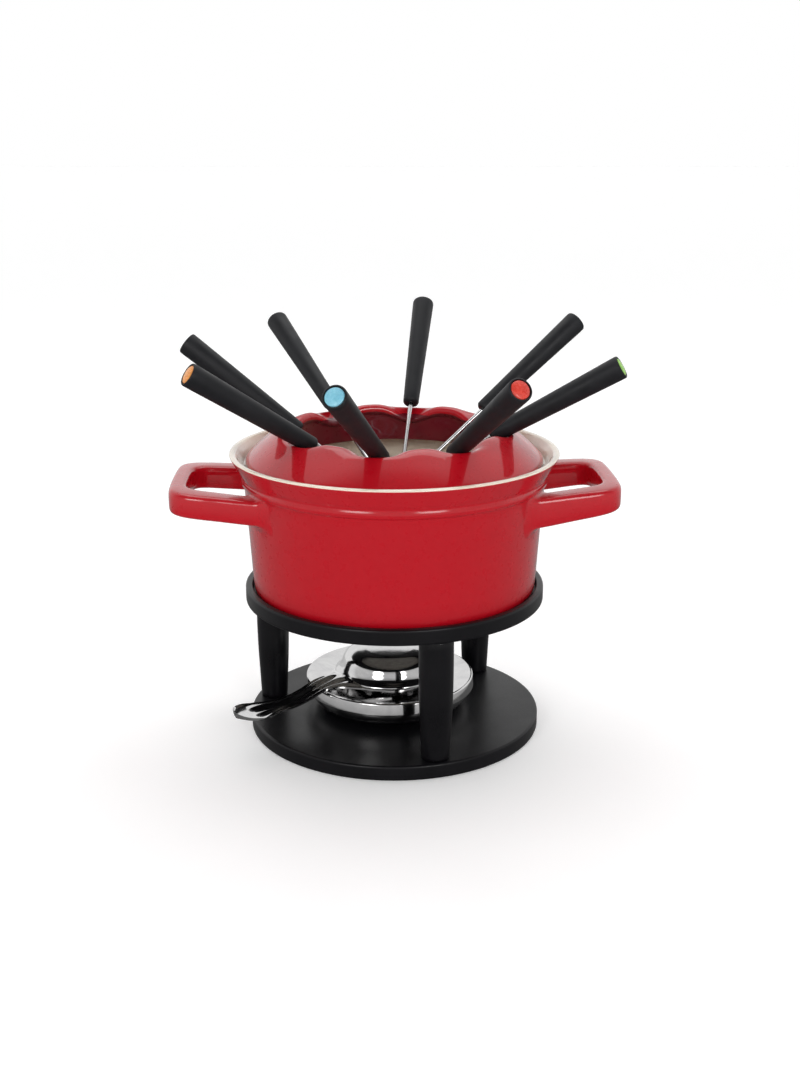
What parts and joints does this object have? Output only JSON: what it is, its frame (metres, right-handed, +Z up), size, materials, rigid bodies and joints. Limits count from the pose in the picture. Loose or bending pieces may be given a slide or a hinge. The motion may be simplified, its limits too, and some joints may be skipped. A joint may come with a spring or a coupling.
{
  "type": "fondue set",
  "caption": "Fondue set: glazed loop-handled pot on a three-column stand, scalloped fork ring, colour-capped forks and a lidded fuel burner.",
  "frame": {"origin": "middle of the stand's underside, on the surface it stands on", "axes": "+Z up, -Y towards the front; the pot handles point along about +X and -X"},
  "size_m": [0.2542, 0.2452, 0.2375],
  "materials": {
    "black_lacquer": "satin black lacquer",
    "red_glaze": "glossy red glaze",
    "cream_glaze": "glossy cream glaze",
    "black_plastic": "finely textured matt black",
    "fork_steel": "polished stainless",
    "polished_steel": "polished stainless sheet",
    "zinc_steel": "zinc plated",
    "felt": "black felt",
    "wadding": "white fibre wadding",
    "cap_sky": "glossy moulded",
    "cap_coral": "glossy moulded",
    "cap_lime": "glossy moulded",
    "cap_blue": "glossy moulded",
    "cap_yellow": "glossy moulded",
    "cap_pink": "glossy moulded",
    "cap_purple": "glossy moulded",
    "cap_orange": "glossy moulded"
  },
  "bodies": {
    "stand": {"base_pad": "felt", "base_plate": "black_lacquer", "upper_plate": "black_lacquer", "column_front": "black_lacquer", "column_left": "black_lacquer", "column_back": "black_lacquer", "screw_base_front": "zinc_steel", "screw_base_left": "zinc_steel", "screw_base_back": "zinc_steel", "screw_top_front": "zinc_steel", "screw_top_left": "zinc_steel", "screw_top_back": "zinc_steel"},
    "pot": {"pot_body": "red_glaze"},
    "ring": {"fork_ring": "red_glaze"},
    "fork_sky": {"fork_sky_grip": "black_plastic", "fork_sky_tines": "fork_steel", "fork_sky_cap": "cap_sky"},
    "fork_coral": {"fork_coral_grip": "black_plastic", "fork_coral_tines": "fork_steel", "fork_coral_cap": "cap_coral"},
    "fork_lime": {"fork_lime_grip": "black_plastic", "fork_lime_tines": "fork_steel", "fork_lime_cap": "cap_lime"},
    "fork_blue": {"fork_blue_grip": "black_plastic", "fork_blue_tines": "fork_steel", "fork_blue_cap": "cap_blue"},
    "fork_yellow": {"fork_yellow_grip": "black_plastic", "fork_yellow_tines": "fork_steel", "fork_yellow_cap": "cap_yellow"},
    "fork_pink": {"fork_pink_grip": "black_plastic", "fork_pink_tines": "fork_steel", "fork_pink_cap": "cap_pink"},
    "fork_purple": {"fork_purple_grip": "black_plastic", "fork_purple_tines": "fork_steel", "fork_purple_cap": "cap_purple"},
    "fork_orange": {"fork_orange_grip": "black_plastic", "fork_orange_tines": "fork_steel", "fork_orange_cap": "cap_orange"},
    "burner": {"burner_bowl": "polished_steel", "burner_cover": "polished_steel", "fuel_cup": "polished_steel", "fuel_wadding": "wadding", "wadding_gauze": "zinc_steel"},
    "sleeve": {"air_sleeve": "polished_steel"},
    "lid": {"snuffer_lid": "polished_steel"}
  },
  "joints": [
    {"name": "pot_lift", "type": "slide", "parent": "stand", "child": "pot", "axis": [0, 0, 1], "range_m": [0, 0.12]},
    {"name": "ring_lift", "type": "slide", "parent": "pot", "child": "ring", "axis": [0, 0, 1], "range_m": [0, 0.1]},
    {"name": "fork_sky_pull", "type": "slide", "parent": "ring", "child": "fork_sky", "axis": [-0.2672, -0.7848, 0.5592], "range_m": [0, 0.15]},
    {"name": "fork_coral_pull", "type": "slide", "parent": "ring", "child": "fork_coral", "axis": [0.369, -0.7369, 0.5664], "range_m": [0, 0.15]},
    {"name": "fork_lime_pull", "type": "slide", "parent": "ring", "child": "fork_lime", "axis": [0.8363, -0.2039, 0.509], "range_m": [0, 0.15]},
    {"name": "fork_blue_pull", "type": "slide", "parent": "ring", "child": "fork_blue", "axis": [0.7066, 0.3982, 0.585], "range_m": [0, 0.15]},
    {"name": "fork_yellow_pull", "type": "slide", "parent": "ring", "child": "fork_yellow", "axis": [0.1029, 0.7511, 0.6521], "range_m": [0, 0.15]},
    {"name": "fork_pink_pull", "type": "slide", "parent": "ring", "child": "fork_pink", "axis": [-0.4559, 0.7184, 0.5255], "range_m": [0, 0.15]},
    {"name": "fork_purple_pull", "type": "slide", "parent": "ring", "child": "fork_purple", "axis": [-0.7883, 0.1676, 0.592], "range_m": [0, 0.15]},
    {"name": "fork_orange_pull", "type": "slide", "parent": "ring", "child": "fork_orange", "axis": [-0.7629, -0.3461, 0.5461], "range_m": [0, 0.15]},
    {"name": "burner_slide", "type": "slide", "parent": "stand", "child": "burner", "axis": [-0.5349, -0.8449, 0], "range_m": [0, 0.16]},
    {"name": "sleeve_turn", "type": "hinge", "parent": "burner", "child": "sleeve", "pos_m": [-0.003, 0.0075, 0.028], "axis": [0, 0, 1], "range_deg": [-21, 44]},
    {"name": "lid_lift", "type": "slide", "parent": "sleeve", "child": "lid", "axis": [0, 0, 1], "range_m": [0, 0.03]}
  ]
}
